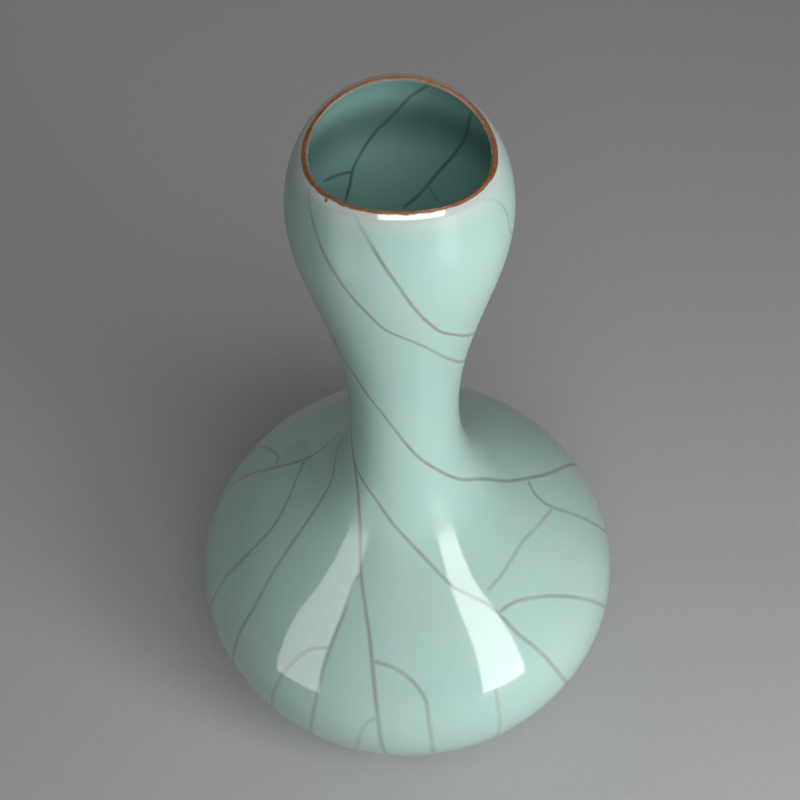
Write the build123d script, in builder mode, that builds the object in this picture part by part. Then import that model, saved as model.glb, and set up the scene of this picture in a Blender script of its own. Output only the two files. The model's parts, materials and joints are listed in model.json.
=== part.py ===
"""Double gourd vase: three luted clay sections on a foot ring, glazed inside and out, with an iron-brown lip.

Millimetres, +Z up. The origin is on the floor, on the vase's axis. The mouth's low side faces -Y.
"""
import os

from build123d import *

os.makedirs("parts", exist_ok=True)

# Outline of the glazed skin: radii, and heights above or below the belly's widest ring
belly_radius = 63.0
keel_drop = 43.5              # where the belly's underside would close
underside_inset = 9.9         # in from the belly's widest ring
underside_drop = 24.0
shoulder_inset = 18.0
shoulder_rise = 32.1
flare_spread = 7.8            # out from the waist
flare_rise = 49.9
waist_radius = 15.2
waist_rise = 82.0
neck_spread = 3.0
neck_rise = 110.0
taper_inset = 3.9             # in from the upper bulb's widest ring
taper_rise = 135.0
bulb_radius = 28.1
bulb_rise = 157.0
brow_inset = 8.1
brow_rise = 182.7
crown_rise = 191.8            # where the bulb would close if it had no mouth

# Mouth: a scoop cut by a cylinder that lies across the bulb
mouth_cut_radius = 42.1
mouth_cut_offset = 11.6       # the scoop's lowest line, in front of the axis
mouth_below_crown = 14.5      # and how far it lies below the crown
mouth_side_tilt = 1.2         # degrees, the right side lower

# Thicknesses of the layers at the belly and at the crown, even in between
skin_glaze_belly = 0.7
skin_glaze_crown = 0.45
clay_wall_belly = 3.2
clay_wall_crown = 0.7
lining_glaze_belly = 0.5
lining_glaze_crown = 0.35

# Foot, floor and seams
foot_radius = 29.0
foot_height = 5.0
foot_width = 4.5
foot_edge = 0.8
base_trim = 5.0               # how much of the belly's underside is cut flat above the foot
floor_thickness = 4.5
floor_glaze = 0.6
base_glaze_thickness = 0.6
seam_thickness = 0.5

# Lip: the brown band stands a little proud of the glaze
lip_band_height = 1.2
lip_band_proud = 0.3
lip_band_edge = 0.3
lip_glaze_edge = 0.25

# Values that follow from the sizes above
belly_height = foot_height + keel_drop - base_trim
waist_height = belly_height + waist_rise
bulb_height = belly_height + bulb_rise
crown_height = belly_height + crown_rise
mouth_low_height = crown_height - mouth_below_crown
floor_height = foot_height + floor_thickness
half_seam = seam_thickness / 2
glazed_skin = (0.0, 0.0)
bare_clay = (skin_glaze_belly, skin_glaze_crown)
inside_clay = (bare_clay[0] + clay_wall_belly, bare_clay[1] + clay_wall_crown)
inside_glaze = (inside_clay[0] + lining_glaze_belly, inside_clay[1] + lining_glaze_crown)
stations = [
    (0, belly_height - keel_drop),
    (belly_radius - underside_inset, belly_height - underside_drop),
    (belly_radius, belly_height),
    (belly_radius - shoulder_inset, belly_height + shoulder_rise),
    (waist_radius + flare_spread, belly_height + flare_rise),
    (waist_radius, waist_height),
    (waist_radius + neck_spread, belly_height + neck_rise),
    (bulb_radius - taper_inset, belly_height + taper_rise),
    (bulb_radius, bulb_height),
    (bulb_radius - brow_inset, belly_height + brow_rise),
    (0, crown_height),
]
level_ends = {"tangents": [(1, 0), (-1, 0)], "tangent_scalars": [1, 1]}
skin_curve = Spline(*stations, **level_ends)


def layer_points(depths):
    """The outline's stations, each sunk square to the skin by the layer's depth there."""
    at_belly, at_crown = depths
    points = []
    for radius, height in stations:
        share = max(0, (height - belly_height) / crown_rise)
        depth = at_belly + (at_crown - at_belly) * share
        along = skin_curve.tangent_at((radius, height))
        points.append((radius - depth * along.Y, height + depth * along.X))
    return points


def gourd_section(depths, base_height, low=None, high=None):
    """Half section of all that lies within a layer, above base_height, and between two heights if given."""
    points = layer_points(depths)
    low = base_height if low is None else low
    high = crown_height if high is None else high
    with BuildSketch(Plane.XZ) as section:
        with BuildLine():
            Spline(*points, **level_ends)
            Line(points[-1], points[0])
        make_face()
        with Locations((0, max(low, base_height))):
            Rectangle(
                belly_radius,
                high - max(low, base_height),
                align=(Align.MIN, Align.MIN),
                mode=Mode.INTERSECT,
            )
    return section.sketch


def wall(outer, inner, outer_base, inner_base, low=None, high=None):
    """Turned wall between two layers; used inside a part's block."""
    revolve(gourd_section(outer, outer_base, low, high), axis=Axis.Z)
    revolve(gourd_section(inner, inner_base, low, high), axis=Axis.Z, mode=Mode.SUBTRACT)


def cut_mouth(rise, mode=Mode.SUBTRACT):
    """Scoops the mouth out, with its surface raised by rise."""
    centre = (0, -mouth_cut_offset, mouth_low_height + mouth_cut_radius)
    with Locations(Location(centre, (0, mouth_side_tilt, 0))):
        Cylinder(mouth_cut_radius - rise, 4 * belly_radius, rotation=(0, 90, 0), mode=mode)


# Lower half of the belly with its floor
with BuildPart() as lower_bowl:
    wall(bare_clay, inside_clay, foot_height, floor_height, foot_height, belly_height - half_seam)
lower_bowl.part.label = "lower_bowl"
export_step(lower_bowl.part, "parts/lower_bowl.step")

# Upper half of the belly, drawn in to the waist
with BuildPart() as shoulder_dome:
    wall(bare_clay, inside_clay, foot_height, floor_height, belly_height + half_seam, waist_height - half_seam)
shoulder_dome.part.label = "shoulder_dome"
export_step(shoulder_dome.part, "parts/shoulder_dome.step")

# Neck and upper bulb, thrown as one section and scooped out at the mouth
with BuildPart() as upper_bulb:
    wall(bare_clay, inside_clay, foot_height, floor_height, waist_height + half_seam)
    cut_mouth(lip_band_proud - lip_band_height)
upper_bulb.part.label = "upper_bulb"
export_step(upper_bulb.part, "parts/upper_bulb.step")

# Slip that joins the two halves of the belly
with BuildPart() as belly_seam_slip:
    wall(bare_clay, inside_clay, foot_height, floor_height, belly_height - half_seam, belly_height + half_seam)
belly_seam_slip.part.label = "belly_seam_slip"
export_step(belly_seam_slip.part, "parts/belly_seam_slip.step")

# Slip that joins the upper bulb to the shoulder
with BuildPart() as waist_seam_slip:
    wall(bare_clay, inside_clay, foot_height, floor_height, waist_height - half_seam, waist_height + half_seam)
waist_seam_slip.part.label = "waist_seam_slip"
export_step(waist_seam_slip.part, "parts/waist_seam_slip.step")

# Turned foot ring, bare where it meets the floor
with BuildPart() as foot_ring:
    with BuildSketch():
        Circle(foot_radius)
        Circle(foot_radius - foot_width, mode=Mode.SUBTRACT)
    extrude(amount=foot_height - seam_thickness)
    fillet(foot_ring.edges().group_by(Axis.Z)[0], foot_edge)
foot_ring.part.label = "foot_ring"
export_step(foot_ring.part, "parts/foot_ring.step")

# Slip that joins the foot ring to the bowl
with BuildPart() as foot_seam_slip:
    with BuildSketch(Plane.XY.offset(foot_height - seam_thickness)):
        Circle(foot_radius)
        Circle(foot_radius - foot_width, mode=Mode.SUBTRACT)
    extrude(amount=seam_thickness)
foot_seam_slip.part.label = "foot_seam_slip"
export_step(foot_seam_slip.part, "parts/foot_seam_slip.step")

# Glaze under the bowl, within the foot ring
with BuildPart() as base_glaze:
    with BuildSketch(Plane.XY.offset(foot_height - base_glaze_thickness)):
        Circle(foot_radius - foot_width)
    extrude(amount=base_glaze_thickness)
base_glaze.part.label = "base_glaze"
export_step(base_glaze.part, "parts/base_glaze.step")

# Thick glaze over the whole outside, from the bowl's lower edge to the lip
with BuildPart() as outer_glaze:
    wall(glazed_skin, bare_clay, foot_height, foot_height)
    cut_mouth(0)
    lip_face = outer_glaze.faces().filter_by(GeomType.CYLINDER)[0]
    fillet(lip_face.outer_wire().edges(), lip_glaze_edge)
outer_glaze.part.label = "outer_glaze"
export_step(outer_glaze.part, "parts/outer_glaze.step")

# Thinner glaze that lines the inside, floor and all
with BuildPart() as inner_glaze:
    wall(inside_clay, inside_glaze, floor_height, floor_height + floor_glaze)
    cut_mouth(0)
inner_glaze.part.label = "inner_glaze"
export_step(inner_glaze.part, "parts/inner_glaze.step")

# Iron-brown band on the lip, where the glaze runs thin
with BuildPart() as lip_band:
    wall(bare_clay, inside_clay, foot_height, floor_height, bulb_height)
    cut_mouth(lip_band_proud)
    cut_mouth(lip_band_proud - lip_band_height, Mode.INTERSECT)
    lip_face = lip_band.faces().filter_by(GeomType.CYLINDER).sort_by(Axis.Z)[-1]
    fillet(lip_face.edges(), lip_band_edge)
lip_band.part.label = "lip_band"
export_step(lip_band.part, "parts/lip_band.step")
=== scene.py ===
"""Looks of the double gourd vase: crackled celadon glaze, an iron-brown lip and a bare dark foot.

Shapes are in millimetres, in the CAD model's frame: +Z up, the floor at zero, the front at -Y.
Materials, floor and lamps are in metres.
"""
import json
import math

import bpy
import numpy as np
from mathutils import Matrix, Vector
from mathutils.bvhtree import BVHTree


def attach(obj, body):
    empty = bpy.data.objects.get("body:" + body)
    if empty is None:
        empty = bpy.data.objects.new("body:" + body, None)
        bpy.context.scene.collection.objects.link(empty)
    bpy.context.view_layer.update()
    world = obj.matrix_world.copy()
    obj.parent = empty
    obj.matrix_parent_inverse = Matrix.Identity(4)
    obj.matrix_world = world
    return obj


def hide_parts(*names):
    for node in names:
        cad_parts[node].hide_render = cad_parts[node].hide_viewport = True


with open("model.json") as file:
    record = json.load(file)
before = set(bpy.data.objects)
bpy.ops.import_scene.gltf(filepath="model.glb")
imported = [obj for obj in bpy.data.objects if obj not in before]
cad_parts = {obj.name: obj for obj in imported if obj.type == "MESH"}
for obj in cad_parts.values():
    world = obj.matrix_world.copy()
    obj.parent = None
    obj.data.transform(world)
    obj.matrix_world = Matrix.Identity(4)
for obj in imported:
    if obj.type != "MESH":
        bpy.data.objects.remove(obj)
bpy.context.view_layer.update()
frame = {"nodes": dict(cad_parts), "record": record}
MM = 0.001

# The vase's outline, as in the CAD model
BELLY_HEIGHT = 43.5
CROWN_RISE = 191.8
BULB_HEIGHT = 200.5
FOOT_HEIGHT = 5.0
FLOOR_TOP = 10.1
FLOOR_UNDER = 9.5
STATIONS = np.array([
    (0.0, -43.5), (53.1, -24.0), (63.0, 0.0), (45.0, 32.1), (23.0, 49.9), (15.2, 82.0),
    (18.2, 110.0), (24.2, 135.0), (28.1, 157.0), (20.0, 182.7), (0.0, CROWN_RISE),
]) + (0.0, BELLY_HEIGHT)
SKIN, CLAY, CLAY_INSIDE, LINING = (0.0, 0.0), (0.7, 0.45), (3.9, 1.15), (4.4, 1.5)

# The scoop that cuts the mouth
CUT_RADIUS = 42.1
CUT_CENTRE = np.array([0.0, -11.6, BELLY_HEIGHT + CROWN_RISE - 14.5 + CUT_RADIUS])
CUT_TILT = math.radians(1.2)
CUT_AXIS = np.array([math.cos(CUT_TILT), 0.0, -math.sin(CUT_TILT)])
BAND_DEEP = 0.9       # how far the brown band reaches down between the glazes

COLUMNS = 320         # points in each ring of a mesh
SPLINE_STEPS = 4000
LIP_STEPS = 900
ANGLES = np.arange(COLUMNS) * 2 * np.pi / COLUMNS
AROUND = np.stack([np.sin(ANGLES), -np.cos(ANGLES)], 1)


def clamped_spline(points):
    """Samples of the cubic spline through the points, level at both ends, and its slopes at them."""
    t = np.concatenate([[0.0], np.cumsum(np.linalg.norm(np.diff(points, axis=0), axis=1))])
    h = np.diff(t)
    count = len(points)
    left, right = np.eye(count), np.zeros((count, 2))
    right[0], right[-1] = (1.0, 0.0), (-1.0, 0.0)
    for i in range(1, count - 1):
        left[i, i - 1:i + 2] = 1 / h[i - 1], 2 / h[i - 1] + 2 / h[i], 1 / h[i]
        before, after = points[i] - points[i - 1], points[i + 1] - points[i]
        right[i] = 3 * (before / h[i - 1] ** 2 + after / h[i] ** 2)
    slopes = np.linalg.solve(left, right)
    u = np.linspace(0, t[-1], SPLINE_STEPS)
    k = np.clip(np.searchsorted(t, u, side="right") - 1, 0, count - 2)
    w = ((u - t[k]) / h[k])[:, None]
    step = h[k][:, None]
    samples = ((1 + 2 * w) * (1 - w) ** 2 * points[k] + w * (1 - w) ** 2 * step * slopes[k]
               + w * w * (3 - 2 * w) * points[k + 1] + w * w * (w - 1) * step * slopes[k + 1])
    return samples, slopes


class Layer:
    """One layer of the wall, sunk square to the skin, thinner towards the crown."""

    slopes = clamped_spline(STATIONS)[1]

    def __init__(self, depths):
        share = np.clip((STATIONS[:, 1] - BELLY_HEIGHT) / CROWN_RISE, 0, 1)
        depth = depths[0] + (depths[1] - depths[0]) * share
        unit = self.slopes / np.linalg.norm(self.slopes, axis=1)[:, None]
        sunk = STATIONS + depth[:, None] * np.stack([-unit[:, 1], unit[:, 0]], 1)
        self.samples = clamped_spline(sunk)[0]
        steps = np.linalg.norm(np.diff(self.samples, axis=0), axis=1)
        self.run = np.concatenate([[0.0], np.cumsum(steps)])

    def at(self, run):
        """Radius and height at a run along the layer."""
        return np.interp(run, self.run, self.samples[:, 0]), np.interp(run, self.run, self.samples[:, 1])

    def run_at(self, height):
        return np.interp(height, self.samples[:, 1], self.run)

    def radius_at(self, height):
        return np.interp(height, self.samples[:, 1], self.samples[:, 0])

    def lip(self, rise=0.0):
        """The run at which the scoop cuts the layer, one for each column."""
        run = np.linspace(self.run_at(BULB_HEIGHT), self.run[-1], LIP_STEPS)
        r, z = self.at(run)
        z = np.broadcast_to(z, (COLUMNS, LIP_STEPS))
        p = np.stack([AROUND[:, :1] * r, AROUND[:, 1:] * r, z], -1) - CUT_CENTRE
        gap = np.sqrt((p ** 2).sum(-1) - (p @ CUT_AXIS) ** 2) - (CUT_RADIUS - rise)
        k = (gap < 0).argmax(1)
        j = np.arange(COLUMNS)
        before, after = gap[j, k - 1], gap[j, k]
        return run[k - 1] + (run[k] - run[k - 1]) * before / (before - after)

    def ring(self, run):
        """One ring of points at a run, or at one run for each column."""
        r, z = self.at(np.broadcast_to(run, COLUMNS))
        return np.column_stack([AROUND * r[:, None], z])


def level_ring(radius, height):
    return np.column_stack([AROUND * radius, np.full(COLUMNS, height)])


# Meshes in rings
def ring_faces(count, closed, flip):
    """Quads between rings that follow each other."""
    j = np.arange(COLUMNS)
    k = (j + 1) % COLUMNS
    faces = []
    for i in range(count if closed else count - 1):
        a, b = i * COLUMNS, (i + 1) % count * COLUMNS
        quad = np.stack([a + j, a + k, b + k, b + j], 1)
        faces.append(quad[:, ::-1] if flip else quad)
    return np.concatenate(faces).tolist()


def ring_object(name, rings, closed=True, flip=False, poles=()):
    """A smooth mesh from rings in millimetres; poles close its first and last ring with a point each."""
    points = np.concatenate(rings)
    faces = ring_faces(len(rings), closed, flip)
    j = np.arange(COLUMNS)
    k = (j + 1) % COLUMNS
    for height, start, turned in poles:
        tip = np.full(COLUMNS, len(points))
        points = np.concatenate([points, [(0.0, 0.0, height)]])
        fan = np.stack([tip, start + j, start + k], 1)
        faces += (fan[:, ::-1] if turned else fan).tolist()
    mesh = bpy.data.meshes.new(name)
    mesh.from_pydata((points * MM).tolist(), [], faces)
    mesh.validate()
    mesh.polygons.foreach_set("use_smooth", [True] * len(mesh.polygons))
    mesh.set_sharp_from_angle(angle=math.radians(55))
    piece = bpy.data.objects.new(name, mesh)
    bpy.context.scene.collection.objects.link(piece)
    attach(piece, "root")
    return piece, points, faces


# The layers, and how the rim is rolled in
skin, clay, clay_inside, lining = Layer(SKIN), Layer(CLAY), Layer(CLAY_INSIDE), Layer(LINING)
ROLL = 1.9            # the rim is rolled in over this length below the lip
ROLL_EASE = 0.3       # and sets in softly over this share of it
ROLL_ROWS = (1.9, 1.75, 1.6, 1.45, 1.3, 1.1, 0.9, 0.65, 0.4, 0.2, 0.08, 0.0)
FRONT_ROLL = 0.92     # and by this depth at the lip in front
SIDE_ROLL = 0.22      # and by this one at the sides and the back
INNER_ROLL = 0.34     # and by this one inside, where the glaze thins out
THIN_GLAZE = 0.08     # what is left of the glaze where the rim is rolled most
BODY_END = ROLL + 0.6     # the rings of the body end this far below the lip
FRONTNESS = np.clip((np.cos(ANGLES) - 0.25) / 0.6, 0, 1)
OUTER_ROLL = SIDE_ROLL + (FRONT_ROLL - SIDE_ROLL) * FRONTNESS ** 2 * (3 - 2 * FRONTNESS)


def rolled(outer, backing, below, roll, least=None):
    """A ring of a layer, a length below the lip, rolled in; with least, the back of the glaze left there."""
    face, back = outer.ring(outer.lip() - below), backing.ring(backing.lip() - below)
    thickness = np.linalg.norm(back - face, axis=1)
    share = 1 - below / ROLL
    eased = share ** 2 / (2 * ROLL_EASE) if share < ROLL_EASE else share - ROLL_EASE / 2
    depth = roll * eased / (1 - ROLL_EASE / 2)
    if least is not None:
        depth = np.maximum(thickness, depth + least)
    return face + (back - face) * (depth / thickness)[:, None]


def rise_rows(layer, start, level, stretched, below):
    """Rings up a layer, level to the bulb's widest ring, then stretched to a length below the lip."""
    bulb = layer.run_at(BULB_HEIGHT)
    rings = [layer.ring(run) for run in np.linspace(start, bulb, level)]
    top = layer.lip() - below
    shares = np.linspace(0, 1, stretched + 1)[1:]
    return rings + [layer.ring(bulb + (top - bulb) * share) for share in shares]


# Level and stretched rings of each surface
OUTER_RINGS, LINING_RINGS, BACK_RINGS = (156, 16), (130, 16), (44, 8)

# The outer glaze: up its face, over the rolled rim, and down its back
outer_rows = rise_rows(skin, skin.run_at(FOOT_HEIGHT), *OUTER_RINGS, BODY_END)
outer_rows += [rolled(skin, clay, below, OUTER_ROLL) for below in ROLL_ROWS]
rim_back = [rolled(skin, clay, below, OUTER_ROLL, THIN_GLAZE) for below in ROLL_ROWS]
outer_rows += rim_back[::-1] + rise_rows(clay, clay.run_at(FOOT_HEIGHT), *BACK_RINGS, BODY_END)[::-1]
outer, outer_points, outer_faces = ring_object("outer_glaze_skin", outer_rows)
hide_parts("outer_glaze")

# The lining: from the middle of the floor up to the lip, and back down behind it
FLOOR_SHARES, UNDER_SHARES = (0.08, 0.2, 0.35, 0.5, 0.65, 0.8, 0.92), (0.7, 0.35, 0.08)
floor_edge, under_edge = lining.radius_at(FLOOR_TOP), clay_inside.radius_at(FLOOR_UNDER)
lining_rows = [level_ring(floor_edge * share, FLOOR_TOP) for share in FLOOR_SHARES]
lining_rows += rise_rows(lining, lining.run_at(FLOOR_TOP), *LINING_RINGS, BODY_END)
lining_rows += [rolled(lining, clay_inside, below, INNER_ROLL) for below in ROLL_ROWS]
lining_rows += rise_rows(clay_inside, clay_inside.run_at(FLOOR_UNDER), *BACK_RINGS, 0.0)[::-1]
lining_rows += [level_ring(under_edge * share, FLOOR_UNDER) for share in UNDER_SHARES]
inside, inside_points, inside_faces = ring_object(
    "inner_glaze_lining", lining_rows, closed=False, flip=True,
    poles=((FLOOR_TOP, 0, False), (FLOOR_UNDER, (len(lining_rows) - 1) * COLUMNS, True)))
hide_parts("inner_glaze")

# The brown band: up behind the glaze, over the crest, and down inside
CREST = 0.23          # how far it stands up in the middle
BAND_CREST = (        # shares across the band, each with its rise
    (0.06, 0.07), (0.18, 0.15), (0.34, 0.21), (0.5, CREST), (0.66, 0.21), (0.82, 0.15), (0.94, 0.07),
)
UP_ROWS = [below for below in ROLL_ROWS if below < BAND_DEEP]
band_outside = [rolled(skin, clay, below, OUTER_ROLL, THIN_GLAZE) for below in (BAND_DEEP, *UP_ROWS)]
band_inside = [clay_inside.ring(clay_inside.lip() - below) for below in (0.0, 0.3, 0.6, BAND_DEEP)]
uneven = 0.02 * np.sin(7 * ANGLES + 0.6) + 0.02 * np.sin(17 * ANGLES + 2.1) + 0.02 * np.sin(41 * ANGLES)
off_scoop = CUT_CENTRE - band_outside[-1]
off_scoop -= (off_scoop @ CUT_AXIS)[:, None] * CUT_AXIS
off_scoop /= np.linalg.norm(off_scoop, axis=1)[:, None]
band_crest = [
    band_outside[-1] * (1 - across) + band_inside[0] * across
    + off_scoop * (rise + uneven * rise / CREST)[:, None]
    for across, rise in BAND_CREST
]
band_under = [0.5 * (band_outside[0] + band_inside[-1])]
band = ring_object("lip_band_rim", band_outside + band_crest + band_inside + band_under)[0]
crest_shares = [across for across, _ in BAND_CREST]
across_band = [0.0] * len(band_outside) + crest_shares + [1.0] * (len(band_inside) + len(band_under))
across_values = band.data.attributes.new("across", "FLOAT", "POINT").data
across_values.foreach_set("value", np.repeat(across_band, COLUMNS))
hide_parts("lip_band")

# The turned foot, with softly worn edges
FOOT_RADIUS, FOOT_WIDTH, FOOT_MIDDLE, FOOT_TOP, FOOT_EDGE = 29.0, 4.5, 2.6, 4.5, 0.8
foot_inside = FOOT_RADIUS - FOOT_WIDTH
turns = np.linspace(0, np.pi / 2, 7)
worn_edge = [(FOOT_EDGE * (1 - math.cos(turn)), FOOT_EDGE * (1 - math.sin(turn))) for turn in turns]
foot_section = [(foot_inside, FOOT_TOP)]
foot_section += [(foot_inside + near, far) for near, far in worn_edge]
foot_section += [(FOOT_RADIUS - far, near) for near, far in worn_edge]
foot_section += [(FOOT_RADIUS, FOOT_MIDDLE), (FOOT_RADIUS, FOOT_TOP)]
foot = ring_object("foot_ring_turned", [level_ring(r, z) for r, z in foot_section])[0]
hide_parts("foot_ring")

# Camera, at the photo's place and angle
PITCH, ROLL_ANGLE, YAW = math.radians(51.98), math.radians(-1.25), math.radians(0.123)
FOCAL, FRAME_SIZE = 1809.9, 800      # in pixels
SENSOR = 36.0
camera_data = bpy.data.cameras.new("camera")
camera_data.sensor_width = SENSOR
camera_data.lens = SENSOR * FOCAL / FRAME_SIZE
camera_data.clip_start, camera_data.clip_end = 0.01, 50.0
camera = bpy.data.objects.new("camera", camera_data)
camera.location = Vector((0.0, -308.27, 475.87 + BELLY_HEIGHT)) * MM
camera.rotation_euler = (
    Matrix.Rotation(math.pi / 2 - PITCH, 3, "X")
    @ Matrix.Rotation(ROLL_ANGLE, 3, "Z")
    @ Matrix.Rotation(YAW, 3, "Y")
).to_euler()
bpy.context.scene.collection.objects.link(camera)
bpy.context.scene.camera = camera
EYE = np.array(camera.location) / MM
TURN = np.array(camera.rotation_euler.to_matrix())

# Crackle: lines laid where the photo shows them, and carried on round the unseen sides
# Each line: pixels in the photo, then degrees from the front with heights, then its strength
OUTSIDE_LINES = (
    (((309, 190), (309, 204), (313, 222), (322, 249), (334, 272), (347, 291), (366, 312), (384, 329),
      (406, 339), (427, 348), (449, 359), (461, 362)), ((95, 143), (120, 134), (145, 123), (170, 116)),
      0.9),
    (((352, 212), (356, 218), (370, 243), (384, 266), (399, 287), (413, 307), (431, 325), (441, 332),
      (457, 335), (470, 335)), ((95, 157), (118, 163), (142, 173), (160, 186)), 1.0),
    (((467, 204), (475, 201), (484, 199), (494, 200), (503, 206), (508, 217), (510, 230)), ((86, 190),
      (97, 180), (106, 170), (112, 162)), 0.45),
    (((334, 338), (340, 354), (352, 371), (366, 393), (381, 412), (395, 430), (415, 454), (436, 469),
      (459, 479), (484, 479), (507, 481), (528, 478), (550, 473), (574, 464)), ((117, 52), (126, 47),
      (138, 44), (150, 34), (158, 20), (160, 6)), 1.0),
    (((337, 345),), ((-74, 165), (-90, 170), (-107, 179), (-122, 191), (-135, 207), (-142, 226)), 0.9),
    (((528, 480), (535, 494), (550, 506), (573, 514), (599, 527)), ((94, 50), (99, 40), (105, 27),
      (108, 8)), 0.85),
    (((552, 509), (538, 525.5), (523, 541), (513.5, 556), (502.5, 573.5), (488, 590.5)), (), 0.6),
    (((499, 612), (515, 602), (538, 597), (561, 596), (584, 599), (602, 605)), ((74, 41), (79, 32),
      (84, 22), (88, 8)), 0.9),
    (((355, 462), (358, 472), (374, 497), (394, 525), (420, 553), (449, 583), (463, 592), (487, 604),
      (501, 616), (517, 633), (538, 650), (553, 666), (565, 681)), ((53, 29), (58, 17), (60, 6)), 0.9),
    (((351, 436), (354, 460), (358, 493), (360, 523), (361, 574), (368, 625), (372, 661), (377, 711),
      (385, 752)), ((-6, 22), (-4, 12), (-3, 6)), 1.0),
    (((352, 446),), ((-82, 124), (-92, 133), (-104, 141), (-118, 149), (-132, 159)), 0.8),
    (((373, 661), (394, 668), (412, 681), (425, 699), (429, 722), (433, 750)), ((8, 20), (11, 6)), 0.85),
    (((377, 717), (366, 724), (360, 735), (357, 746)), ((-17, 24), (-21, 8)), 0.6),
    (((360, 574), (353, 584), (343, 615), (330, 648), (320, 681), (314, 709), (311, 728)), ((-30, 27),
      (-31, 14), (-30, 6)), 0.8),
    (((330, 648), (312, 649), (297, 658), (284, 673), (274, 691), (272, 702)), ((-43, 31), (-47, 19),
      (-50, 6)), 0.8),
    (((342, 437), (333, 474), (318, 505), (297, 536), (277, 566), (256, 604), (241, 630), (233, 657)),
      ((-60, 34), (-64, 22), (-66, 6)), 0.85),
    (((339, 446),), ((-118, 106), (-132, 117), (-146, 131), (-149, 150)), 0.7),
    (((305, 460), (289, 497), (272, 528), (246, 556), (223, 581), (214, 598)), ((-75, 43), (-79, 30),
      (-83, 12)), 0.8),
    (((342, 430), (328, 444), (305, 459), (277, 467), (251, 474), (232, 485)), ((-103, 55), (-104, 45),
      (-108, 33), (-114, 12)), 0.8),
    (((340, 432),), ((-140, 96), (-158, 102), (-176, 106)), 0.7),
    (((276, 466), (278, 456), (269, 449), (259, 447), (252, 452)), ((-121, 56), (-129, 45), (-137, 28),
      (-141, 8)), 0.6),
    (((496, 690), (498, 706), (496, 736)), ((24, 26), (22, 14), (21, 6)), 0.6),
    ((), ((178, 140), (186, 122), (189, 106), (187, 92), (181, 80), (174, 66), (170, 50), (168, 34),
      (165, 12)), 0.95),
    ((), ((189, 104), (197, 92), (197, 80), (198, 68), (204, 50), (202, 34), (196, 10)), 0.85),
    ((), ((174, 66), (160, 65), (147, 58), (138, 44)), 0.75),
    ((), ((207, 52), (196, 47), (184, 44), (170, 45)), 0.7),
    ((), ((158, 22), (149, 25), (139, 21), (131, 24), (120, 18)), 0.7),
    ((), ((160, 186), (175, 196), (188, 211), (195, 230)), 0.75),
    ((), ((-107, 179), (-117, 168), (-132, 159), (-149, 150), (-166, 143), (-182, 140)), 0.85),
)
INSIDE_LINES = (
    (((431, 83), (424, 88), (409, 98), (393, 115), (373, 135), (361, 153), (353, 169), (350, 184),
      (346, 199)), (), 1.0),
    (((352, 172), (341, 174), (331, 178), (324, 181)), (), 0.9),
    (((471, 112), (469, 121), (466, 136), (456, 152), (441, 169), (425, 188), (412, 201), (404, 207)), (),
      0.9),
    (((428, 187), (435, 196), (438, 201)), (), 0.5),
    ((), ((-28, 224), (-14, 210), (2, 198), (10, 184), (8, 166), (14, 146)), 0.9),
    ((), ((58, 224), (50, 208), (46, 192), (52, 178), (70, 164)), 0.8),
    ((), ((6, 191), (24, 186), (47, 188)), 0.7),
    ((), ((-95, 224), (-84, 208), (-66, 197), (-40, 193), (-2, 200)), 0.8),
)
INSIDE_HAIRS = (
    (((358, 160), (361, 159), (379, 159), (393, 164), (403, 173), (409, 184)), (), 0.8),
    (((379, 160), (379, 168), (371, 176), (368, 189), (362, 198)), (), 0.7),
    (((331, 118), (345, 131), (352, 146), (357, 158)), (), 0.25),
    (((440, 110), (433, 128), (424, 142), (420, 158)), (), 0.25),
)
REACH = 2.6           # how far from a line it can show
FAR = 6.0             # how far from a line its distance is kept
SAME_CHANNEL = 8.0    # lines nearer than this go in different channels
END_FADE = 0.8        # a line fades out over this length at its ends
SNAP = 1.5            # a route is drawn to the surface from this far
MIDDLE_COLUMN = 405   # where the axis lies in the photo
NUDGES, NUDGE = 24, 0.01


def pixel_ray(pixel):
    """The direction from the camera through a pixel."""
    x, y = (pixel[0] - FRAME_SIZE / 2) / FOCAL, (FRAME_SIZE / 2 - pixel[1]) / FOCAL
    ray = TURN @ np.array([x, y, -1.0])
    return ray / np.linalg.norm(ray)


def cast(tree, pixel):
    """The point of the vase at a pixel; a pixel just past the outline is drawn in to it."""
    for nudge in range(NUDGES):
        share = nudge * NUDGE
        spot = (pixel[0] + (MIDDLE_COLUMN - pixel[0]) * share, pixel[1])
        hit = tree.ray_cast(Vector(EYE), Vector(pixel_ray(spot)))[0]
        if hit is not None:
            return np.array(hit)
    return None


def smooth_route(points, step=1.0):
    """A smooth line through the points, with a point about each millimetre."""
    p = np.array(points, float)
    p = np.concatenate([[2 * p[0] - p[1]], p, [2 * p[-1] - p[-2]]])
    out = []
    for a, b, c, d in zip(p[:-3], p[1:-2], p[2:-1], p[3:]):
        count = max(2, int(np.linalg.norm(c - b) / step))
        t = np.linspace(0, 1, count, endpoint=False)[:, None]
        bend, twist = 2 * a - 5 * b + 4 * c - d, 3 * b - a - 3 * c + d
        out.append(0.5 * (2 * b + (c - a) * t + bend * t ** 2 + twist * t ** 3))
    return np.concatenate(out + [p[-2:-1]])


def lay_lines(tree, layer, lines):
    """Routes on the surface, each with its strength."""
    routes = []
    for pixels, spots, strength in lines:
        points = [hit for hit in (cast(tree, pixel) for pixel in pixels) if hit is not None]
        for angle, height in spots:
            radius, turn = layer.radius_at(height), math.radians(angle)
            points.append(np.array([radius * math.sin(turn), -radius * math.cos(turn), height]))
        route = smooth_route(points)
        snapped = [tree.find_nearest(Vector(q)) for q in route]
        route = np.array([hit[0] if hit[3] < SNAP else q for hit, q in zip(snapped, route)])
        keep = np.concatenate([[True], np.linalg.norm(np.diff(route, axis=0), axis=1) > 0.05])
        routes.append((route[keep], strength))
    return routes


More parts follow.
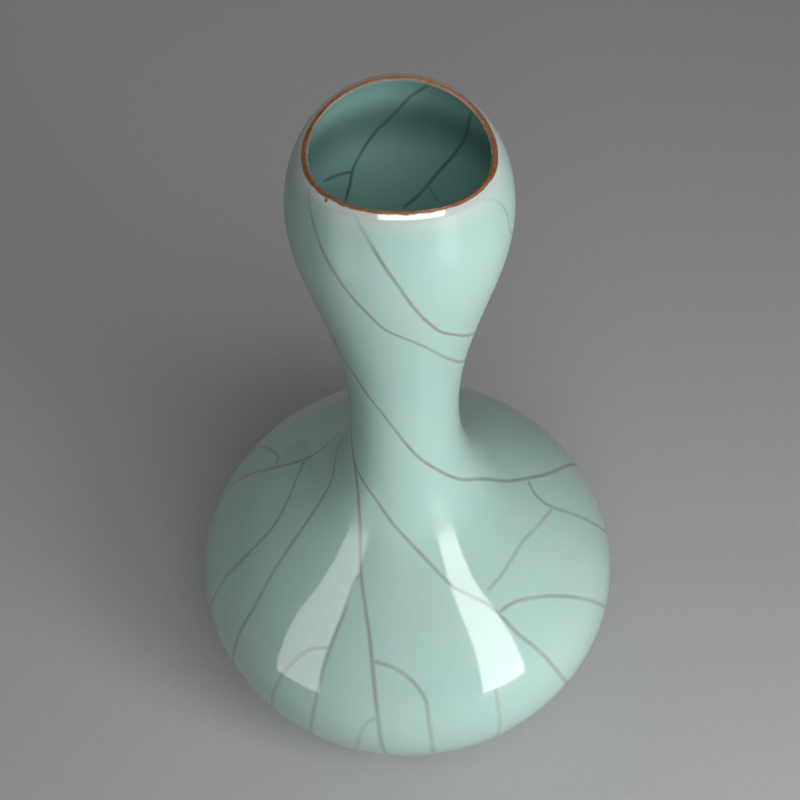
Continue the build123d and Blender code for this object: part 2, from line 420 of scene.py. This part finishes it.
def sort_channels(routes):
    """Groups of lines that keep clear of each other."""
    channels = []
    for route in routes:
        for channel in channels:
            apart = [np.linalg.norm(route[0][:, None] - other[0][None], axis=-1).min() for other in channel]
            if min(apart) > SAME_CHANNEL:
                channel.append(route)
                break
        else:
            channels.append([route])
    return channels


def mark(points, normals, channel):
    """For each point: the signed distance to the channel's nearest line, and how strongly it shows there."""
    distance, nearest = np.full(len(points), FAR), np.full(len(points), FAR)
    show = np.zeros(len(points))
    for route, strength in channel:
        low, high = route.min(0) - FAR, route.max(0) + FAR
        near = np.flatnonzero(((points > low) & (points < high)).all(1))
        p, a, run = points[near], route[:-1], np.diff(route, axis=0)
        length = np.linalg.norm(run, axis=1)
        t = np.clip(((p[:, None] - a[None]) * run[None]).sum(-1) / length ** 2, 0, 1)
        gap = np.linalg.norm(p[:, None] - a[None] - t[..., None] * run[None], axis=-1)
        k = gap.argmin(1)
        j = np.arange(len(near))
        gap, t = gap[j, k], t[j, k]
        off = p - a[k] - t[:, None] * run[k]
        ahead = (off * run[k]).sum(1) / length[k]
        side = np.cross(normals[near], run[k])
        side /= np.maximum(np.linalg.norm(side, axis=1), 1e-9)[:, None]
        starts = np.concatenate([[0.0], np.cumsum(length)])
        along = starts[k] + t * length[k] + ahead
        ends = np.clip(np.minimum(along, starts[-1] - along) / END_FADE + 0.6, 0, 1)
        weight = np.clip(REACH - gap, 0, 1) * ends * strength
        take = gap < nearest[near]
        spots = near[take]
        distance[spots] = (off * side).sum(1)[take]
        show[spots], nearest[spots] = weight[take], gap[take]
    return distance, show


def surface(points, faces):
    return BVHTree.FromPolygons([Vector(p) for p in points], faces)


def vertex_normals(piece):
    normals = np.zeros(len(piece.data.vertices) * 3, np.float32)
    piece.data.vertex_normals.foreach_get("vector", normals)
    return normals.reshape(-1, 3).astype(float)


def write_attribute(piece, name, columns):
    attribute = piece.data.attributes.new(name, "FLOAT_VECTOR", "POINT")
    attribute.data.foreach_set("vector", np.column_stack(columns).astype(np.float32).ravel())


def lip_distance(points):
    """How far each point lies below the scoop that cut the mouth."""
    p = points - CUT_CENTRE
    return np.sqrt(np.maximum((p ** 2).sum(1) - (p @ CUT_AXIS) ** 2, 0)) - CUT_RADIUS


def add_crackle(piece, points, faces, layer, lines, hairs=()):
    """Writes each channel's lines and hairlines to the mesh; gives the channels' names."""
    tree = surface(points, faces)
    normals, below_lip = vertex_normals(piece), lip_distance(points)
    dark = sort_channels(lay_lines(tree, layer, lines))
    pale = sort_channels(lay_lines(tree, layer, hairs))
    names = []
    for kind, channels in (("crack", dark), ("hair", pale)):
        for i, channel in enumerate(channels):
            distance, show = mark(points, normals, channel)
            write_attribute(piece, f"{kind}_{i}", (distance, show, below_lip))
            names.append(f"{kind}_{i}")
    return names


outer_channels = add_crackle(outer, outer_points, outer_faces, skin, OUTSIDE_LINES)
inside_channels = add_crackle(inside, inside_points, inside_faces, lining, INSIDE_LINES, INSIDE_HAIRS)


# Materials
class Paint:
    """A material's nodes, with short ways to add them."""

    def __init__(self, name):
        self.material = bpy.data.materials.new(name)
        self.material.use_nodes = True
        self.tree = self.material.node_tree
        self.tree.nodes.clear()
        self.shader = self.tree.nodes.new("ShaderNodeBsdfPrincipled")
        out = self.tree.nodes.new("ShaderNodeOutputMaterial")
        self.tree.links.new(self.shader.outputs[0], out.inputs[0])
        self.place = self.tree.nodes.new("ShaderNodeTexCoord").outputs["Object"]

    def put(self, value, socket):
        if isinstance(value, bpy.types.NodeSocket):
            self.tree.links.new(value, socket)
        else:
            socket.default_value = value

    def set(self, **values):
        for name, value in values.items():
            self.put(value, self.shader.inputs[name.replace("_", " ").title().replace("Ior", "IOR")])

    def math(self, operation, a, b=0.0, clamp=False):
        node = self.tree.nodes.new("ShaderNodeMath")
        node.operation, node.use_clamp = operation, clamp
        self.put(a, node.inputs[0])
        self.put(b, node.inputs[1])
        return node.outputs[0]

    def ramp(self, value, low, high, start=0.0, end=1.0):
        node = self.tree.nodes.new("ShaderNodeMapRange")
        node.interpolation_type = "SMOOTHSTEP"
        for socket, item in zip(node.inputs, (value, low, high, start, end)):
            self.put(item, socket)
        return node.outputs[0]

    def noise(self, scale, detail=2.0, rough=0.5):
        node = self.tree.nodes.new("ShaderNodeTexNoise")
        self.put(self.place, node.inputs["Vector"])
        self.put(scale, node.inputs["Scale"])
        self.put(detail, node.inputs["Detail"])
        self.put(rough, node.inputs["Roughness"])
        return node.outputs["Fac"]

    def mix(self, share, a, b, blend="MIX"):
        node = self.tree.nodes.new("ShaderNodeMix")
        node.data_type, node.blend_type = "RGBA", blend
        self.put(share, node.inputs["Factor"])
        for socket, colour in ((node.inputs[6], a), (node.inputs[7], b)):
            self.put((*colour, 1.0) if isinstance(colour, tuple) else colour, socket)
        return node.outputs[2]

    def bump(self, height, distance, strength=1.0):
        node = self.tree.nodes.new("ShaderNodeBump")
        self.put(strength, node.inputs["Strength"])
        self.put(distance, node.inputs["Distance"])
        self.put(height, node.inputs["Height"])
        self.put(node.outputs[0], self.shader.inputs["Normal"])

    def attribute(self, name):
        node = self.tree.nodes.new("ShaderNodeAttribute")
        node.attribute_name = name
        split = self.tree.nodes.new("ShaderNodeSeparateXYZ")
        self.put(node.outputs["Vector"], split.inputs[0])
        return split.outputs

    def axis(self, which):
        split = self.tree.nodes.new("ShaderNodeSeparateXYZ")
        self.put(self.place, split.inputs[0])
        return split.outputs[which]

    def near_point(self, centre, low, high):
        node = self.tree.nodes.new("ShaderNodeVectorMath")
        node.operation = "DISTANCE"
        self.put(self.place, node.inputs[0])
        node.inputs[1].default_value = Vector(centre)
        return self.ramp(node.outputs["Value"], low, high, 1.0, 0.0)


def lines_mask(paint, names, core, edge):
    """The strongest of the channels' lines, with soft edges and an uneven stain."""
    waver = paint.math("MULTIPLY", paint.math("SUBTRACT", paint.noise(260.0, 2.0), 0.5), 0.25)
    strongest = 0.0
    for name in names:
        distance, show, _ = paint.attribute(name)
        gap = paint.math("ABSOLUTE", paint.math("ADD", distance, waver))
        line = paint.math("MULTIPLY", paint.ramp(gap, core, edge, 1.0, 0.0), show)
        strongest = paint.math("MAXIMUM", strongest, line)
    patchy = paint.ramp(paint.noise(90.0, 2.0), 0.25, 0.6, 0.7, 1.0)
    return paint.math("MULTIPLY", strongest, patchy, clamp=True)


CELADON = (0.455, 0.655, 0.595)
CELADON_DEEP = (0.415, 0.625, 0.570)
CELADON_INSIDE = (0.375, 0.650, 0.605)
CELADON_PALE = (0.600, 0.665, 0.610)
STAIN = (0.270, 0.235, 0.220)
STAIN_INSIDE = (0.120, 0.150, 0.145)
HAIR = (0.560, 0.700, 0.660)
IRON = (0.290, 0.095, 0.028)
IRON_PALE = (0.410, 0.160, 0.055)
IRON_FLECK = (0.065, 0.026, 0.014)
IRON_GLINT = (0.52, 0.32, 0.19)
IRON_INSIDE = (0.20, 0.30, 0.27)
SPECK = (0.140, 0.140, 0.110)
# pale glaze at the lip, used as painted light on the rolled bevel in front and partly as painted light
# inside near the lip
LIP_PALE_AND_PAINTED_LIGHT = (0.840, 0.870, 0.810)
GLOSSY_TO, SATIN_FROM = 0.0890, 0.0945       # heights
SATIN_ROUGH, GLOSSY_SHINE, SATIN_SHINE = 0.25, 0.5, 0.12


def celadon(name, body=CELADON, channels=(), stain=STAIN, line_edge=0.85, outside=True, speck=None):
    """Thick glaze, with its crackle if it has any.

    Outside it is glossy on the belly and softer above the shoulder. At the lip it is pale, with painted
    light on the rolled bevel in front, and in front it is glossy again, where the iron shows through it.
    Inside it is pale at the lip, partly thin glaze and partly painted light, and darkest a little below
    it, which is painted shade.
    """
    paint = Paint(name)
    height = paint.axis(2)
    cloud = paint.ramp(paint.noise(22.0, 3.0), 0.3, 0.7)
    colour = paint.mix(cloud, body, tuple(body[i] * CELADON_DEEP[i] / CELADON[i] for i in range(3)))
    mottle = paint.ramp(paint.noise(420.0, 3.0, 0.6), 0.35, 0.7)
    colour = paint.mix(paint.math("MULTIPLY", mottle, 0.10), colour, CELADON_PALE)
    gloss = paint.ramp(paint.noise(160.0, 3.0), 0.3, 0.7, 0.06, 0.09)
    rough, shine = gloss, GLOSSY_SHINE
    if channels:
        rough = paint.ramp(height, GLOSSY_TO, SATIN_FROM, gloss, SATIN_ROUGH)
        shine = paint.ramp(height, GLOSSY_TO, SATIN_FROM, GLOSSY_SHINE, SATIN_SHINE)
        below = paint.attribute(channels[0])[2]
        waver = paint.math("MULTIPLY", paint.math("SUBTRACT", paint.noise(320.0, 3.0), 0.5), 0.7)
        ragged = paint.math("ADD", below, waver)
        if outside:
            colour = paint.mix(paint.ramp(ragged, 0.2, 7.0, 0.75, 0.0), colour, CELADON_PALE)
        else:
            # painted shade: a darker band a little below the lip inside, where the lip shades the wall
            run = paint.math("MULTIPLY", paint.ramp(height, 0.194, 0.206, 0.0, 0.8),
                             paint.ramp(height, 0.207, 0.217, 1.0, 0.0))
            colour = paint.mix(run, colour, tuple(0.4 * part for part in body))
            # pale at the lip inside: partly thin glaze, partly painted light where the lamps reach the wall
            # near the lip
            colour = paint.mix(paint.ramp(ragged, 0.2, 9.0, 0.95, 0.0), colour, LIP_PALE_AND_PAINTED_LIGHT)
        spread = paint.ramp(height, 0.030, 0.110, 1.5 * line_edge, line_edge)
        cracks = lines_mask(paint, [n for n in channels if n.startswith("crack")], 0.05, spread)
        cracks = paint.math("MULTIPLY", cracks, paint.ramp(height, 0.030, 0.110, 0.68, 1.0))
        cracks = paint.math("MULTIPLY", cracks, paint.ramp(below, 1.5, 9.0, 0.25, 0.82))
        colour = paint.mix(cracks, colour, stain)
        hairs = [n for n in channels if n.startswith("hair")]
        if hairs:
            faint = paint.math("MULTIPLY", lines_mask(paint, hairs, 0.03, 0.34), 0.42)
            colour = paint.mix(faint, colour, HAIR)
        brown_edge = 0.10
        if outside:
            front = paint.ramp(paint.axis(1), -0.020, -0.012, 1.0, 0.0)
            # painted light: the rolled bevel in front is lightened, where it faces up and away from the
            # lamps
            rim = paint.math("MULTIPLY", front, paint.ramp(below, 1.1, 1.7, 0.5, 0.0))
            colour = paint.mix(rim, colour, LIP_PALE_AND_PAINTED_LIGHT)
            brown_edge = paint.ramp(front, 0.0, 1.0, 0.28, 0.50)
        brown = paint.ramp(ragged, paint.math("MULTIPLY", brown_edge, 0.4), brown_edge, 0.95, 0.0)
        colour = paint.mix(brown, colour, IRON)
        if outside:
            glossy = paint.math("MULTIPLY", front, paint.ramp(below, 1.25, 1.5, 1.0, 0.0))
            glossy = paint.math("MULTIPLY", glossy, paint.math("SUBTRACT", 1.0, brown))
            rough = paint.ramp(glossy, 0.0, 1.0, rough, gloss)
            shine = paint.ramp(glossy, 0.0, 1.0, shine, GLOSSY_SHINE)
    if speck is not None:
        colour = paint.mix(paint.near_point(speck, 0.0001, 0.0008), colour, SPECK)
    swell = paint.math("ADD", paint.noise(34.0, 1.0), paint.math("MULTIPLY", paint.noise(300.0, 2.0), 0.06))
    paint.bump(swell, 0.0006, 0.5)
    paint.set(base_color=colour, roughness=rough, specular_ior_level=shine, ior=1.65)
    return paint.material


speck_spot = cast(surface(outer_points, outer_faces), (326, 200)) * MM
outer.data.materials.append(celadon("celadon_skin", channels=outer_channels, speck=speck_spot))
inside.data.materials.append(
    celadon("celadon_lining", CELADON_INSIDE, inside_channels, STAIN_INSIDE, line_edge=0.8, outside=False))


def iron_lip():
    """Thin brown glaze, patchy and flecked, with green creeping over its inner edge."""
    paint = Paint("iron_lip")
    patch = paint.ramp(paint.noise(240.0, 4.0, 0.6), 0.32, 0.68)
    colour = paint.mix(patch, IRON, IRON_PALE)
    fleck = paint.ramp(paint.noise(1300.0, 3.0, 0.65), 0.56, 0.68)
    colour = paint.mix(paint.math("MULTIPLY", fleck, 0.8), colour, IRON_FLECK)
    glint = paint.ramp(paint.noise(900.0, 2.0), 0.62, 0.74)
    colour = paint.mix(paint.math("MULTIPLY", glint, 0.4), colour, IRON_GLINT)
    across = paint.tree.nodes.new("ShaderNodeAttribute")
    across.attribute_name = "across"
    creep = paint.math("ADD", across.outputs["Fac"], paint.math("MULTIPLY", paint.noise(300.0, 2.0), 0.3))
    colour = paint.mix(paint.ramp(creep, 0.82, 0.96, 0.0, 0.9), colour, IRON_INSIDE)
    paint.bump(paint.noise(900.0, 3.0, 0.6), 0.0001, 0.6)
    rough = paint.ramp(paint.noise(500.0, 2.0), 0.3, 0.7, 0.14, 0.34)
    paint.set(base_color=colour, roughness=rough, ior=1.5)
    return paint.material


def clay_body(name, pale, dark, grit):
    """Bare fired clay, cloudy and gritty."""
    paint = Paint(name)
    colour = paint.mix(paint.ramp(paint.noise(60.0, 4.0), 0.3, 0.7), pale, dark)
    grains = paint.math("MULTIPLY", paint.ramp(paint.noise(900.0, 2.0), 0.60, 0.70), 0.7)
    colour = paint.mix(grains, colour, grit)
    paint.bump(paint.noise(700.0, 4.0, 0.6), 0.0002, 0.5)
    paint.set(base_color=colour, roughness=paint.ramp(paint.noise(200.0, 2.0), 0.3, 0.7, 0.72, 0.9))
    return paint.material


band.data.materials.append(iron_lip())
foot.data.materials.append(
    clay_body("iron_foot", (0.165, 0.098, 0.068), (0.095, 0.055, 0.040), (0.30, 0.21, 0.15)))
node_materials = {
    "stoneware": clay_body("stoneware", (0.42, 0.37, 0.33), (0.34, 0.29, 0.25), (0.16, 0.11, 0.08)),
    "slip": clay_body("slip", (0.46, 0.41, 0.36), (0.40, 0.35, 0.30), (0.22, 0.17, 0.13)),
    "iron_foot": foot.data.materials[0],
    "celadon_skin": outer.data.materials[0],
    "celadon_lining": celadon("celadon_base"),
    "iron_lip": band.data.materials[0],
}
for row in frame["record"]["subparts"]:
    node = frame["nodes"][row["node"]]
    node.data.materials.clear()
    node.data.materials.append(node_materials[row["material_slot"]])

# Floor, world and lamps
HALF_FLOOR = 6.0
floor_corners = [(x * HALF_FLOOR, y * HALF_FLOOR, 0) for x, y in ((-1, -1), (1, -1), (1, 1), (-1, 1))]
floor_mesh = bpy.data.meshes.new("floor")
floor_mesh.from_pydata(floor_corners, [], [(0, 1, 2, 3)])
floor = bpy.data.objects.new("floor", floor_mesh)
bpy.context.scene.collection.objects.link(floor)
floor_paint = Paint("floor_paper")
paper = floor_paint.mix(floor_paint.noise(500.0, 3.0), (0.50, 0.495, 0.50), (0.56, 0.555, 0.56))
floor_paint.set(base_color=paper, roughness=0.9)
floor_mesh.materials.append(floor_paint.material)

world = bpy.data.worlds.new("studio")
bpy.context.scene.world = world
world.use_nodes = True
world_tree = world.node_tree
world_tree.nodes.clear()
FILL, BACKDROP = (0.07, 0.072, 0.074, 1.0), (0.45, 0.45, 0.46, 1.0)
light_path = world_tree.nodes.new("ShaderNodeLightPath")
fill, backdrop = (world_tree.nodes.new("ShaderNodeBackground") for _ in range(2))
fill.inputs[0].default_value, backdrop.inputs[0].default_value = FILL, BACKDROP
choose = world_tree.nodes.new("ShaderNodeMixShader")
world_tree.links.new(light_path.outputs["Is Camera Ray"], choose.inputs[0])
world_tree.links.new(fill.outputs[0], choose.inputs[1])
world_tree.links.new(backdrop.outputs[0], choose.inputs[2])
world_tree.links.new(choose.outputs[0], world_tree.nodes.new("ShaderNodeOutputWorld").inputs[0])


def area_lamp(name, azimuth, elevation, distance, centre, width, height, power,
              across=0.0, lean=0.0, lights=True, mirrored=True):
    """A lamp that looks at the axis at the height of centre, shifted sideways by across, and leaning.

    Angles are in degrees. It either lights the scene, or is mirrored in it, or both.
    """
    turn, climb = math.radians(azimuth), math.radians(elevation)
    out = Vector((math.sin(turn) * math.cos(climb), -math.cos(turn) * math.cos(climb), math.sin(climb)))
    right = Vector((math.cos(turn), math.sin(turn), 0.0))
    upright = Matrix((right, out.cross(right), out)).transposed()
    facing = upright @ Matrix.Rotation(math.radians(lean), 3, "Z")
    data = bpy.data.lights.new(name, "AREA")
    data.shape, data.size, data.size_y, data.energy = "RECTANGLE", width, height, power
    lamp = bpy.data.objects.new(name, data)
    spot = out * distance + right * across + Vector((0.0, 0.0, centre))
    lamp.matrix_world = Matrix.Translation(spot) @ facing.to_4x4()
    lamp.visible_camera = False
    lamp.visible_diffuse, lamp.visible_glossy = lights, mirrored
    bpy.context.scene.collection.objects.link(lamp)


area_lamp("soft_box_right", azimuth=47.0, elevation=0.0, distance=0.350, centre=0.232,
          width=0.118, height=0.456, power=0.98, across=-0.027, lean=-3.5)
area_lamp("soft_box_left", azimuth=-57.0, elevation=0.0, distance=0.235, centre=0.159,
          width=0.088, height=0.304, power=0.225, across=0.0255, lean=6.0, lights=False)
area_lamp("rim_strip", azimuth=20.0, elevation=64.0, distance=0.900, centre=0.200,
          width=0.880, height=0.150, power=3.3, across=0.030, lean=-13.9, lights=False)
area_lamp("front_fill", azimuth=14.0, elevation=42.0, distance=1.300, centre=0.120,
          width=1.000, height=1.600, power=8.0, mirrored=False)
area_lamp("back_fill", azimuth=205.0, elevation=12.0, distance=1.200, centre=0.120,
          width=0.900, height=0.600, power=1.3, mirrored=False)

bpy.context.scene.view_settings.view_transform = "Standard"
